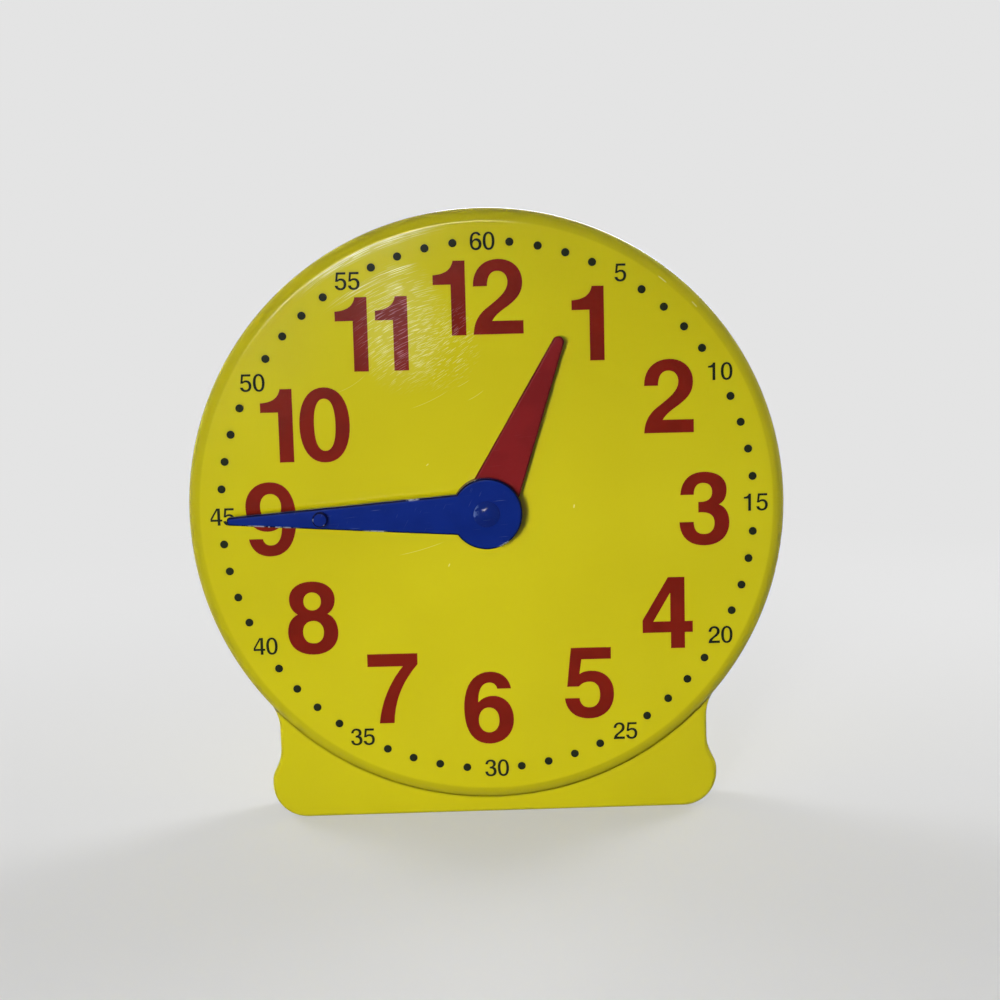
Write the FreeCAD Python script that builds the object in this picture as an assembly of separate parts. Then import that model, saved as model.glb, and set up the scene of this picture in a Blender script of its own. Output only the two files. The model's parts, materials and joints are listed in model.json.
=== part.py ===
"""Geared teaching clock: a moulded drum with a plinth, two hands and a 12 to 1 gear train.

Everything is drawn in the clock's own dial frame (X to the right, Y up, Z out of the dial,
origin at the hub on the dial face) and stood up by save(): the dial then faces -Y, +Z is up
and the origin is under the middle of the clock, on the surface it stands on.
"""
import FreeCAD, Part
import math
import os

Vector = FreeCAD.Vector
OUT = Vector(0, 0, 1)
HUB = Vector(0, 0, 0)

# ---------------------------------------------------------------- driving dimensions, mm

# body
dial_radius = 171.5
drum_clearance = 9.4
shell_wall = 2.5
plinth_setback = 6.0

# moulded rim: a quarter round between the flat dial and the wall of the drum
rim_round_radius = 8.2

# plinth outline: waist, round lobes and round lower corners
lobe_half_width = 130.9
lobe_radius = 14.0
lobe_straight = 2.0
waist_depth = 5.6
waist_radius = 25.0
neck_radius = 25.0
corner_radius = 20.0
plinth_edge_radius = 2.5

# rear cover
cover_thickness = 3.0
cover_gap = 0.3
cover_edge_radius = 0.8
cover_pad_height = 1.5
cover_pad_wall = 2.0
tail_clearance = 1.5
panel_depth = 1.0
panel_inner_radius = 42.0
panel_edge_distance = 25.5
panel_spoke_width = 14.0
panel_count = 6
panel_corner_radius = 6.0
keyhole_height = 112.0
keyhole_head_radius = 5.0
keyhole_slot_width = 5.0
keyhole_slot_length = 12.0

# stiffening ribs behind the dial
rib_thickness = 1.8
rib_depth = 6.5
ring_rib_radius = 92.0
rib_count = 12

# screws and their bosses
cover_screw_inset = 14.5
cover_screw_count = 6
plinth_screw_inset = 19.3
screw_shank_radius = 1.5
screw_point_radius = 0.3
screw_head_radius = 3.2
screw_head_height = 2.0
screw_head_fillet = 1.2
screw_head_sink = 0.2
screw_engagement = 10.0
pilot_depth = 11.0
screw_slot_width = 0.8
screw_slot_length = 4.2
screw_slot_depth = 1.0
pilot_clearance = 0.05
through_hole_clearance = 0.25
head_recess_clearance = 0.6
boss_wall = 2.6

# gear train: minute pinion > compound gear > hour wheel, 12 turns to 1
gear_module = 1.5
pressure_angle = 20.0
minute_pinion_teeth = 15
compound_wheel_teeth = 45
compound_pinion_teeth = 12
minute_pair_shift = 0.2
hour_pair_shift = 0.3
tooth_thinning = 0.12
hour_wheel_width = 6.0
compound_wheel_width = 5.0
minute_pinion_hub_length = 4.3
minute_pinion_hub_step = 1.5
compound_hub_wall = 5.0
hour_wheel_hub_wall = 5.4
gear_web = 2.4
gear_rim = 4.0
gear_hole_margin = 4.5
compound_hole_count = 5
hour_wheel_hole_count = 6

# shafts, bushes and their fits
arbor_radius = 4.0
arbor_flat_depth = 0.7
arbor_recess = 0.5
arbor_chamfer = 0.5
hour_pipe_wall = 2.4
hour_pipe_flat_depth = 0.96
hour_pipe_recess = 0.5
stud_radius = 2.5
running_clearance = 0.06
fit_clearance = 0.02
axial_play = 0.4
bush_wall = 2.5
bush_flange_wall = 4.0
bush_flange_thickness = 1.4
bush_flange_edge = 0.5
bush_tail = 0.6
dial_boss_depth = 3.5
dial_boss_wall = 5.0
lock_ring_thickness = 1.5
lock_ring_wall = 4.0
stud_boss_wall = 3.5

# bridge that carries the rear ends of the arbor and the stud
bridge_thickness = 3.0
bridge_top = 34.0
bridge_bottom = 86.0
bridge_half_width = 57.0
bridge_corner_radius = 9.0
bridge_screw_inset = 9.0
bridge_rib_height = 2.5
bridge_window_radius = 11.2

# small parts on the arbor
washer_thickness = 0.8
washer_step = 0.5
hand_washer_wall = 3.75
friction_washer_thickness = 0.6
friction_washer_dish = 0.6
friction_washer_wall = 5.0
clip_thickness = 1.0
clip_groove_depth = 0.8
clip_wall = 3.0
clip_mouth = 5.2
arbor_tail = 1.8
pinion_pin_radius = 1.0

# hour hand
hour_hand_angle = 24.3
hour_hub_radius = 20.3
hour_hub_thickness = 5.0
hour_arm_thickness = 3.5
hour_tip_reach = 108.0
hour_tip_radius = 3.3
hour_root_half_width = 13.2

# minute hand
minute_hand_angle = -90.0
minute_hub_radius = 20.3
minute_hub_thickness = 5.0
minute_arm_thickness = 3.6
minute_tip_reach = 147.0
minute_tip_radius = 1.6
minute_tip_half_width = 2.2
minute_root_half_width = 11.3
hand_root_reach = 20.0
hand_edge_radius = 1.3
peg_reach = 94.0
peg_radius = 4.4
peg_height = 3.6
peg_edge_radius = 1.2
cap_radius = 7.4
cap_edge_height = 0.6
cap_crown = 1.6
cap_shank_radius = 2.2
cap_shank_length = 4.5
cap_socket_depth = 5.0
cap_edge_radius = 0.4

# cutting tools reach this much past the faces that they cut
overrun = 1.0

# ---------------------------------------------------------------- places along the hub axis

plinth_face = -plinth_setback
dial_inside = -shell_wall
plinth_inside = plinth_face - shell_wall

# behind the dial
dial_boss_end = dial_inside - dial_boss_depth
lock_ring_end = dial_boss_end - lock_ring_thickness
bush_end = lock_ring_end - bush_tail
hour_wheel_front = bush_end - axial_play
hour_wheel_back = hour_wheel_front - hour_wheel_width
compound_wheel_front = hour_wheel_back - axial_play
compound_wheel_back = compound_wheel_front - compound_wheel_width
compound_pinion_front = hour_wheel_front
stud_boss_end = compound_pinion_front + axial_play
minute_pinion_front = compound_wheel_front
minute_pinion_back = compound_wheel_back
minute_pinion_hub_back = minute_pinion_back - minute_pinion_hub_length
bridge_flange_front = minute_pinion_hub_back - axial_play
bridge_front = bridge_flange_front - bush_flange_thickness
bridge_back = bridge_front - bridge_thickness
bridge_boss_end = bridge_back - bridge_rib_height
compound_hub_back = bridge_front + washer_thickness + axial_play
friction_washer_back = bridge_boss_end - friction_washer_thickness - friction_washer_dish
clip_front = friction_washer_back
clip_back = clip_front - clip_thickness
arbor_back = clip_back - arbor_tail
rib_back = dial_inside - rib_depth

# the cover closes the body behind the arbor's tail
cover_front = arbor_back - tail_clearance
back_face = cover_front - cover_thickness
cover_pad_front = cover_front + cover_pad_height
cover_screw_seat = back_face + screw_head_height + screw_head_sink

# in front of the dial
flange_front = bush_flange_thickness
dial_washer_front = flange_front + washer_thickness
hour_hand_back = dial_washer_front + axial_play
hour_hand_front = hour_hand_back + hour_hub_thickness
hand_washer_back = hour_hand_front + axial_play
hand_washer_front = hand_washer_back + washer_thickness
minute_hand_back = hand_washer_front
minute_hand_front = minute_hand_back + minute_hub_thickness
arbor_front = minute_hand_front - arbor_recess
hour_pipe_front = hour_hand_front - hour_pipe_recess
peg_front = minute_hand_front + peg_height
cap_front = minute_hand_front + cap_edge_height + cap_crown

# sizes that follow from the drum and the plinth
hub_height = dial_radius + drum_clearance
lobe_height = corner_radius + lobe_straight
waist_half_width = lobe_half_width - waist_depth
lobe_centre = Vector(lobe_half_width - lobe_radius, lobe_height - hub_height, 0)
cover_screw_circle = dial_radius - cover_screw_inset
plinth_screw_x = lobe_half_width - plinth_screw_inset
panel_outer_radius = dial_radius - panel_edge_distance

# radii that follow from the shafts
hour_pipe_bore = arbor_radius + running_clearance
hour_pipe_radius = hour_pipe_bore + hour_pipe_wall
dial_bush_bore = hour_pipe_radius + running_clearance
dial_bush_radius = dial_bush_bore + bush_wall
dial_flange_radius = dial_bush_radius + bush_flange_wall
bridge_bush_bore = arbor_radius + running_clearance
bridge_bush_radius = bridge_bush_bore + bush_wall
stud_bore = stud_radius + running_clearance
stud_boss_radius = stud_radius + stud_boss_wall
boss_radius = screw_shank_radius + boss_wall
screw_hole_radius = screw_shank_radius + through_hole_clearance
screw_recess_radius = screw_head_radius + head_recess_clearance
arbor_flats = 2 * (arbor_radius - arbor_flat_depth)
hour_pipe_flats = 2 * (hour_pipe_radius - hour_pipe_flat_depth)

# both pairs of gears have the same centre distance
hour_wheel_teeth = minute_pinion_teeth + compound_wheel_teeth - compound_pinion_teeth
centre_distance = gear_module * (minute_pinion_teeth + compound_wheel_teeth) / 2
stud_centre = Vector(0, -centre_distance, 0)

# the clock stands with the middle of its whole depth over the origin
dial_y = (peg_front + back_face) / 2


# ---------------------------------------------------------------- drawing helpers


def save(node, shape):
    """Stand a shape up from the dial frame and write it as one STEP file."""
    placed = shape.copy()
    placed.rotate(HUB, Vector(1, 0, 0), 90)
    placed.translate(Vector(0, dial_y, hub_height))
    placed.exportStep(os.path.join("parts", node + ".step"))


def at(x, y, z):
    return Vector(x, y, z)


def clock_point(radius, degrees, z=0.0):
    """A point at a distance from the hub, its angle counted clockwise from 12 o'clock."""
    turn = math.radians(degrees)
    return Vector(radius * math.sin(turn), radius * math.cos(turn), z)


def rod(radius, back, front, centre=HUB):
    """A solid cylinder along the hub direction between two depths."""
    return Part.makeCylinder(radius, front - back, at(centre.x, centre.y, back), OUT)


def ring(outer, inner, back, front, centre=HUB):
    return rod(outer, back, front, centre).cut(hole(inner, back, front, centre))


def hole(radius, back, front, centre=HUB):
    """A rod that cuts right through from one depth to another."""
    return rod(radius, back - overrun, front + overrun, centre)


def prism(wire, back, front):
    """A flat closed outline drawn at z = 0, made solid between two depths."""
    face = Part.Face(wire)
    face.translate(at(0, 0, back))
    return face.extrude(at(0, 0, front - back))


def turned(points):
    """Revolve a closed radius, depth outline about the hub axis."""
    corners = [at(radius, 0, depth) for radius, depth in points]
    face = Part.Face(Part.makePolygon(corners + corners[:1]))
    return face.revolve(HUB, OUT, 360)


def arc(start, middle, end):
    return Part.Arc(start, middle, end).toShape()


def arc_about(centre, start, end):
    """The short arc from start to end about a centre."""
    radius = (start - centre).Length
    middle = (start + end) * 0.5 - centre
    middle.normalize()
    return arc(start, centre + middle * radius, end)


def line(start, end):
    return Part.LineSegment(start, end).toShape()


def circle_edges(shape, radius, depth):
    """The full round edges of a shape that have a radius and lie at a depth."""
    found = []
    for edge in shape.Edges:
        if edge.Degenerated or not isinstance(edge.Curve, Part.Circle):
            continue
        curve = edge.Curve
        if abs(curve.Radius - radius) < 1e-4 and abs(curve.Center.z - depth) < 1e-4:
            found.append(edge)
    return found


def edges_at_depth(shape, depth):
    """All edges that lie wholly at one depth."""
    return [e for e in shape.Edges
            if abs(e.BoundBox.ZMin - depth) < 1e-4 and abs(e.BoundBox.ZMax - depth) < 1e-4]


def flats(across, back, front):
    """A block as thick as a shaft's two flats."""
    reach = 4 * arbor_radius
    return Part.makeBox(across, 2 * reach, front - back, at(-across / 2, -reach, back))


def fused(shapes):
    whole = shapes[0].multiFuse(shapes[1:])
    return whole.removeSplitter()


# ---------------------------------------------------------------- plinth and body outlines


def mirrored(point):
    return Vector(-point.x, point.y, point.z)


def lobe_rise(radius):
    """Height above the lobe's centre of a waist arc's centre, for an arc of this radius."""
    across = waist_half_width + radius - lobe_centre.x
    return math.sqrt((lobe_radius + radius) ** 2 - across ** 2)


def neck_drop(radius):
    """Depth below the hub of a neck arc's centre, for an arc of this radius."""
    return math.sqrt((dial_radius + radius) ** 2 - (waist_half_width + radius) ** 2)


def waist_room():
    """Largest radius with which both hollow arcs still fit between the lobe and the drum."""
    fits, too_large = 0.0, dial_radius
    while too_large - fits > fit_clearance:
        radius = (fits + too_large) / 2
        if lobe_rise(radius) + neck_drop(radius) < -lobe_centre.y:
            fits = radius
        else:
            too_large = radius
    return fits


def plinth_side(inset):
    """Right-hand side of the plinth from the base up to the drum, as its arcs' end points.

    An inset draws the same side with a wall's thickness taken off.
    """
    lobe = lobe_half_width - inset
    waist = waist_half_width - inset
    base = -hub_height + inset
    waist_arc = min(waist_radius, waist_room())
    neck_arc = min(neck_radius, waist_room())
    waist_centre = at(waist_half_width + waist_arc, lobe_centre.y + lobe_rise(waist_arc), 0)
    neck_centre = at(waist_half_width + neck_arc, -neck_drop(neck_arc), 0)
    corner_centre = at(lobe_half_width - corner_radius, -hub_height + corner_radius, 0)
    to_waist = (waist_centre - lobe_centre).normalize()
    return {
        "base": at(corner_centre.x, base, 0),
        "corner": corner_centre,
        "corner_top": at(lobe, corner_centre.y, 0),
        "lobe_foot": at(lobe, lobe_centre.y, 0),
        "lobe": lobe_centre,
        "s_bend": lobe_centre + to_waist * (lobe_radius - inset),
        "waist": waist_centre,
        "waist_foot": at(waist, waist_centre.y, 0),
        "waist_top": at(waist, neck_centre.y, 0),
        "neck": neck_centre,
        "drum": neck_centre * ((dial_radius - inset) / neck_centre.Length),
    }


def plinth_outline(inset=0.0):
    """Closed plinth outline; its top is a straight chord inside the drum."""
    side = plinth_side(inset)
    edges = []
    for flip in (Vector, mirrored):
        spot = {name: flip(point) for name, point in side.items()}
        edges += [
            arc_about(spot["corner"], spot["base"], spot["corner_top"]),
            line(spot["corner_top"], spot["lobe_foot"]),
            arc_about(spot["lobe"], spot["lobe_foot"], spot["s_bend"]),
            arc_about(spot["waist"], spot["s_bend"], spot["waist_foot"]),
            line(spot["waist_foot"], spot["waist_top"]),
            arc_about(spot["neck"], spot["waist_top"], spot["drum"]),
        ]
    edges.append(line(mirrored(side["base"]), side["base"]))
    edges.append(line(mirrored(side["drum"]), side["drum"]))
    return Part.Wire(Part.__sortEdges__(edges))


def body_block(inset, plinth_front, drum):
    """The drum and the plinth as one block from the back face to the plinth's front."""
    return fused([drum, prism(plinth_outline(inset), back_face, plinth_front)])


def cover_screw_places():
    """Places of the cover screws: evenly on the drum, and one in each lobe of the plinth."""
    step = 360.0 / cover_screw_count
    places = [clock_point(cover_screw_circle, step * (i + 0.5)) for i in range(cover_screw_count)]
    in_lobe = at(plinth_screw_x, lobe_centre.y, 0)
    return places + [in_lobe, mirrored(in_lobe)]


def bridge_screw_places():
    x = bridge_half_width - bridge_screw_inset
    top = bridge_top - bridge_screw_inset
    bottom = bridge_screw_inset - bridge_bottom
    return [at(sx * x, y, 0) for sx in (-1, 1) for y in (top, bottom)]


# ---------------------------------------------------------------- body


def front_shell():
    """Dial, drum wall and plinth in one moulding, with its bosses and ribs."""
    drum = rod(dial_radius, back_face, 0)
    drum = drum.makeFillet(rim_round_radius, circle_edges(drum, dial_radius, 0))

    plinth = prism(plinth_outline(), back_face, plinth_face)
    front_edges = [e for e in edges_at_depth(plinth, plinth_face) if not is_chord(e)]
    plinth = plinth.makeFillet(plinth_edge_radius, front_edges)

    inner = dial_radius - shell_wall
    hollow = rod(inner, back_face, dial_inside)
    hollow = hollow.makeFillet(rim_round_radius - shell_wall,
                               circle_edges(hollow, inner, dial_inside))
    cavity = body_block(shell_wall, plinth_inside, hollow)
    shell = fused([drum, plinth]).cut(cavity)

    additions = [rib.common(cavity) for rib in ribs()]
    additions += [boss.common(cavity) for boss in screw_bosses()]
    additions.append(rod(dial_bush_radius + dial_boss_wall, dial_boss_end, dial_inside))
    additions.append(rod(stud_boss_radius, stud_boss_end, dial_inside, stud_centre))
    shell = fused([shell] + additions)

    pilots = [pilot(cover_pad_front, place) for place in cover_screw_places()]
    pilots += [pilot(bridge_front, place) for place in bridge_screw_places()]
    pilots.append(hole(dial_bush_radius + fit_clearance, dial_boss_end, 0))
    pilots.append(rod(stud_radius + fit_clearance, back_face, dial_inside, stud_centre))
    return shell.cut(pilots)


def is_chord(edge):
    """True for the straight top of the plinth outline, which is buried in the drum."""
    return edge.BoundBox.YLength < 1e-4 and edge.BoundBox.YMax > lobe_height - hub_height


def ribs():
    """A ring rib and spokes that stiffen the dial, shallow enough to clear the gears."""
    made = [ring(ring_rib_radius + rib_thickness / 2, ring_rib_radius - rib_thickness / 2,
                 rib_back, dial_inside + overrun)]
    length = dial_radius - ring_rib_radius
    for i in range(rib_count):
        spoke = Part.makeBox(rib_thickness, length, rib_depth + overrun,
                             at(-rib_thickness / 2, ring_rib_radius, rib_back))
        spoke.rotate(HUB, OUT, 360.0 * i / rib_count)
        made.append(spoke)
    return made


def screw_bosses():
    """Bosses from the dial and the plinth's face back to the cover's pads and the bridge."""
    return ([rod(boss_radius, cover_pad_front, 0, place) for place in cover_screw_places()]
            + [rod(boss_radius, bridge_front, 0, place) for place in bridge_screw_places()])


def pilot(boss_end, place):
    """Blind hole in a boss for the threads of a screw."""
    return rod(screw_shank_radius + pilot_clearance, boss_end - overrun, boss_end + pilot_depth,
               place)


def rear_cover():
    """Flat back panel let into the shell, with shallow panels and a keyhole to hang it by.

    Pads on its inside make room for the screw heads, which lie below its back.
    """
    inset = shell_wall + cover_gap
    disc = rod(dial_radius - inset, back_face, cover_front)
    plate = body_block(inset, cover_front, disc)
    plate = plate.makeFillet(cover_edge_radius, edges_at_depth(plate, back_face))
    places = cover_screw_places()
    pads = [rod(screw_recess_radius + cover_pad_wall, back_face + cover_edge_radius,
                cover_pad_front, place) for place in places]
    plate = fused([plate] + pads)
    tools = cover_panels()
    for place in places:
        tools.append(hole(screw_hole_radius, back_face, cover_pad_front, place))
        tools.append(rod(screw_recess_radius, back_face - overrun, cover_screw_seat, place))
    tools.append(keyhole())
    return plate.cut(tools)


def cover_panels():
    """Shallow sunk panels between the spokes on the back of the cover."""
    floor = back_face + panel_depth
    turn = 360.0 / panel_count
    band = ring(panel_outer_radius, panel_inner_radius, back_face - overrun, floor)
    reach = 2 * panel_outer_radius
    tip = panel_spoke_width / 2 / math.sin(math.radians(turn / 2))
    half = reach * math.tan(math.radians(turn / 2))
    corners = [at(0, tip, 0), at(half, tip + reach, 0), at(-half, tip + reach, 0)]
    wedge = prism(Part.makePolygon(corners + corners[:1]), back_face - overrun, floor)
    panel = band.common(wedge)
    upright = [e for e in panel.Edges if e.BoundBox.ZLength > panel_depth]
    panel = panel.makeFillet(panel_corner_radius, upright)
    made = []
    for i in range(panel_count):
        made.append(panel.copy())
        made[-1].rotate(HUB, OUT, turn * (i + 0.5))
    return made


def keyhole():
    """Round hole for a screw head with a slot above it for the shank."""
    head = hole(keyhole_head_radius, back_face, cover_front, at(0, keyhole_height, 0))
    slot = Part.makeBox(keyhole_slot_width, keyhole_slot_length, cover_thickness + 2 * overrun,
                        at(-keyhole_slot_width / 2, keyhole_height, back_face - overrun))
    slot_end = hole(keyhole_slot_width / 2, back_face, cover_front,
                    at(0, keyhole_height + keyhole_slot_length, 0))
    return fused([head, slot, slot_end])


def screw(place, seat):
    """Pan-head self-tapping screw whose head bears on a seat and points away from the dial."""
    head = rod(screw_head_radius, seat - screw_head_height, seat, place)
    head = head.makeFillet(screw_head_fillet,
                           circle_edges(head, screw_head_radius, seat - screw_head_height))
    for turn in (0, 90):
        bar = Part.makeBox(screw_slot_width, screw_slot_length, screw_slot_depth,
                           at(-screw_slot_width / 2, -screw_slot_length / 2, 0))
        bar.rotate(HUB, OUT, turn)
        bar.translate(at(place.x, place.y, seat - screw_head_height))
        head = head.cut(bar)
    return head


def screw_with_shank(place, seat, plate_front):
    """A screw through a plate, with its point in the boss beyond."""
    end = plate_front + screw_engagement
    shank = rod(screw_shank_radius, seat, end - screw_shank_radius, place)
    point = Part.makeCone(screw_shank_radius, screw_point_radius, screw_shank_radius,
                          at(place.x, place.y, end - screw_shank_radius), OUT)
    return fused([screw(place, seat), shank, point])


def rear_cover_screws():
    return Part.makeCompound([screw_with_shank(place, cover_screw_seat, cover_pad_front)
                              for place in cover_screw_places()])


# ---------------------------------------------------------------- bearings and bridge


def dial_bush():
    """Flanged bush through the dial, in which the hour pipe turns."""
    barrel = ring(dial_bush_radius, dial_bush_bore, bush_end, 0)
    flange = ring(dial_flange_radius, dial_bush_bore, 0, flange_front)
    bush = fused([barrel, flange])
    return bush.makeFillet(bush_flange_edge,
                           circle_edges(bush, dial_flange_radius, flange_front))


def bush_lock_ring():
    """Push-on ring that holds the bush to the boss behind the dial."""
    return ring(dial_bush_radius + lock_ring_wall, dial_bush_radius + fit_clearance,
                lock_ring_end, dial_boss_end)


def gear_bridge():
    """Plate behind the gears that carries the arbor's and the stud's rear ends."""
    width = 2 * bridge_half_width
    height = bridge_top + bridge_bottom
    plate = Part.makeBox(width, height, bridge_thickness,
                         at(-bridge_half_width, -bridge_bottom, bridge_back))
    upright = [e for e in plate.Edges if e.BoundBox.ZLength > bridge_thickness / 2]
    plate = plate.makeFillet(bridge_corner_radius, upright)
    hub_boss = rod(bridge_bush_radius + bush_wall, bridge_boss_end, bridge_front)
    stud_boss = rod(stud_boss_radius, bridge_boss_end, bridge_front, stud_centre)
    web = Part.makeBox(rib_thickness, centre_distance, bridge_rib_height + overrun,
                       at(-rib_thickness / 2, -centre_distance, bridge_boss_end))
    bridge = fused([plate, hub_boss, stud_boss, web])
    holes = [hole(screw_hole_radius, bridge_back, bridge_front, place)
             for place in bridge_screw_places()]
    holes.append(hole(bridge_bush_radius + fit_clearance, bridge_boss_end, bridge_front))
    holes.append(hole(stud_radius + fit_clearance, bridge_boss_end, bridge_front, stud_centre))
    window = at(bridge_half_width / 2, -centre_distance / 2, 0)
    for centre in (window, mirrored(window)):
        holes.append(hole(bridge_window_radius, bridge_back, bridge_front, centre))
    return bridge.cut(holes)


def bridge_bush():
    """Flanged bush in the bridge, in which the minute arbor turns."""
    barrel = ring(bridge_bush_radius, bridge_bush_bore, bridge_boss_end, bridge_front)
    flange = ring(bridge_bush_radius + bush_wall, bridge_bush_bore, bridge_front,
                  bridge_flange_front)
    return fused([barrel, flange])


def bridge_screws():
    return Part.makeCompound([screw_with_shank(place, bridge_back, bridge_front)
                              for place in bridge_screw_places()])


def compound_stud():
    """Fixed steel pin on which the compound gear turns, held by the dial and the bridge."""
    return rod(stud_radius, bridge_boss_end, dial_inside, stud_centre)


def compound_washer():
    return ring(stud_boss_radius, stud_bore, bridge_front, bridge_front + washer_thickness,
                stud_centre)


# ---------------------------------------------------------------- gears


# heights of a standard tooth above and below the pitch circle, in modules
ADDENDUM = 1.0
DEDENDUM = 1.25
FLANK_STEPS = 7


def gear_radii(teeth, shift):
    pitch = gear_module * teeth / 2
    return {
        "pitch": pitch,
        "base": pitch * math.cos(math.radians(pressure_angle)),
        "tip": pitch + gear_module * (ADDENDUM + shift),
        "root": pitch - gear_module * (DEDENDUM - shift),
    }


def involute(angle):
    return math.tan(angle) - angle


def gear_wire(teeth, shift, centre, first_tooth):
    """Outline of an involute gear with a tooth centred on the first_tooth angle, in degrees."""
    radii = gear_radii(teeth, shift)
    pressure = math.radians(pressure_angle)
    arc_thickness = gear_module * (math.pi / 2 + 2 * shift * math.tan(pressure)) - tooth_thinning
    half_at_pitch = arc_thickness / (2 * radii["pitch"])

    def half_angle(radius):
        roll = math.acos(min(1.0, radii["base"] / radius))
        return half_at_pitch + involute(pressure) - involute(roll)

    flank_start = max(radii["base"], radii["root"])
    flank = [flank_start + (radii["tip"] - flank_start) * i / FLANK_STEPS
             for i in range(FLANK_STEPS + 1)]

    def spot(radius, angle):
        return at(centre.x + radius * math.cos(angle), centre.y + radius * math.sin(angle), 0)

    edges = []
    pitch_step = 2 * math.pi / teeth
    for i in range(teeth):
        middle = math.radians(first_tooth) + i * pitch_step
        foot = half_angle(flank_start)
        rising = [spot(r, middle - half_angle(r)) for r in flank]
        falling = [spot(r, middle + half_angle(r)) for r in reversed(flank)]
        if flank_start > radii["root"] + 1e-6:
            edges.append(line(spot(radii["root"], middle - foot), rising[0]))
        edges.append(smooth(rising))
        edges.append(arc(rising[-1], spot(radii["tip"], middle), falling[0]))
        edges.append(smooth(falling))
        if flank_start > radii["root"] + 1e-6:
            edges.append(line(falling[-1], spot(radii["root"], middle + foot)))
        edges.append(arc(spot(radii["root"], middle + foot),
                         spot(radii["root"], middle + pitch_step / 2),
                         spot(radii["root"], middle + pitch_step - foot)))
    return Part.Wire(edges)


def smooth(points):
    curve = Part.BSplineCurve()
    curve.interpolate(points)
    return curve.toShape()


def webbed(gear, teeth, shift, hub_radius, hole_count, back, front, centre):
    """Thin a gear's middle to a web and cut round holes in it."""
    rim_inner = gear_radii(teeth, shift)["root"] - gear_rim
    spare = (front - back - gear_web) / 2
    cuts = [ring(rim_inner, hub_radius, back - overrun, back + spare, centre),
            ring(rim_inner, hub_radius, front - spare, front + overrun, centre)]
    hole_radius = (rim_inner - hub_radius) / 2 - gear_hole_margin
    circle = (rim_inner + hub_radius) / 2
    for i in range(hole_count):
        place = centre + clock_point(circle, 360.0 * (i + 0.5) / hole_count)
        cuts.append(hole(hole_radius, back, front, place))
    return gear.cut(cuts)


# A tooth of the minute pinion and of the compound pinion lies on the line of centres, which
# runs straight down from the hub; the wheels each turn a gap to it.
TOWARDS_STUD = -90.0
TOWARDS_HUB = 90.0


def gap_angle(teeth, direction):
    return direction + 180.0 / teeth


def minute_pinion_hub_radius():
    return gear_radii(minute_pinion_teeth, minute_pair_shift)["root"] - minute_pinion_hub_step


def minute_pinion():
    """Small gear pinned on the minute arbor."""
    gear = prism(gear_wire(minute_pinion_teeth, minute_pair_shift, HUB, TOWARDS_STUD),
                 minute_pinion_back, minute_pinion_front)
    hub = rod(minute_pinion_hub_radius(), minute_pinion_hub_back, minute_pinion_back)
    gear = fused([gear, hub])
    gear = gear.cut(hole(arbor_radius + fit_clearance, minute_pinion_hub_back,
                         minute_pinion_front))
    return gear.cut(pinion_pin(fit_clearance))


def pinion_pin(clearance=0.0):
    """Steel pin across the pinion's hub and the arbor."""
    reach = minute_pinion_hub_radius()
    depth = (minute_pinion_hub_back + minute_pinion_back) / 2
    return Part.makeCylinder(pinion_pin_radius + clearance, 2 * reach, at(-reach, 0, depth),
                             Vector(1, 0, 0))


def compound_gear():
    """Large wheel driven by the minute pinion, moulded with the small pinion of the hour pair."""
    wheel = prism(gear_wire(compound_wheel_teeth, -minute_pair_shift, stud_centre,
                            gap_angle(compound_wheel_teeth, TOWARDS_HUB)),
                  compound_wheel_back, compound_wheel_front)
    hub_radius = stud_radius + compound_hub_wall
    wheel = webbed(wheel, compound_wheel_teeth, -minute_pair_shift, hub_radius,
                   compound_hole_count, compound_wheel_back, compound_wheel_front, stud_centre)
    web_front = compound_wheel_front - (compound_wheel_width - gear_web) / 2
    pinion = prism(gear_wire(compound_pinion_teeth, hour_pair_shift, stud_centre, TOWARDS_HUB),
                   web_front, compound_pinion_front)
    hub = rod(hub_radius, compound_hub_back, compound_wheel_front, stud_centre)
    gear = fused([wheel, pinion, hub])
    return gear.cut(hole(stud_bore, compound_hub_back, compound_pinion_front, stud_centre))


def hour_wheel():
    """Slow wheel with its hollow pipe, which comes out through the dial to the hour hand."""
    wheel = prism(gear_wire(hour_wheel_teeth, -hour_pair_shift, HUB,
                            gap_angle(hour_wheel_teeth, TOWARDS_STUD)),
                  hour_wheel_back, hour_wheel_front)
    wheel = webbed(wheel, hour_wheel_teeth, -hour_pair_shift,
                   hour_pipe_bore + hour_wheel_hub_wall, hour_wheel_hole_count,
                   hour_wheel_back, hour_wheel_front, HUB)
    pipe = rod(hour_pipe_radius, hour_wheel_back, hour_pipe_front)
    driven_end = rod(hour_pipe_radius, hour_hand_back, hour_pipe_front)
    keyed = driven_end.common(hour_key(hour_pipe_flats))
    pipe = pipe.cut(driven_end.cut(keyed))
    whole = fused([wheel, pipe])
    return whole.cut(hole(hour_pipe_bore, hour_wheel_back, hour_pipe_front))


def hour_key(across):
    block = flats(across, hour_hand_back - overrun, hour_hand_front + overrun)
    block.rotate(HUB, OUT, -hour_hand_angle)
    return block


# ---------------------------------------------------------------- shafts and small parts


def minute_arbor():
    """Steel shaft of the minute hand, with flats for the hand and a groove for the clip."""
    shaft = rod(arbor_radius, arbor_back, arbor_front)
    driven_end = rod(arbor_radius, minute_hand_back, arbor_front)
    shaft = shaft.cut(driven_end.cut(driven_end.common(minute_key(arbor_flats))))
    groove = ring(arbor_radius + overrun, arbor_radius - clip_groove_depth, clip_back, clip_front)
    socket = rod(cap_shank_radius + fit_clearance, arbor_front - cap_socket_depth,
                 arbor_front + overrun)
    shaft = shaft.cut([groove, socket, pinion_pin(fit_clearance)])
    return shaft.makeChamfer(arbor_chamfer, circle_edges(shaft, arbor_radius, arbor_back))


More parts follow.
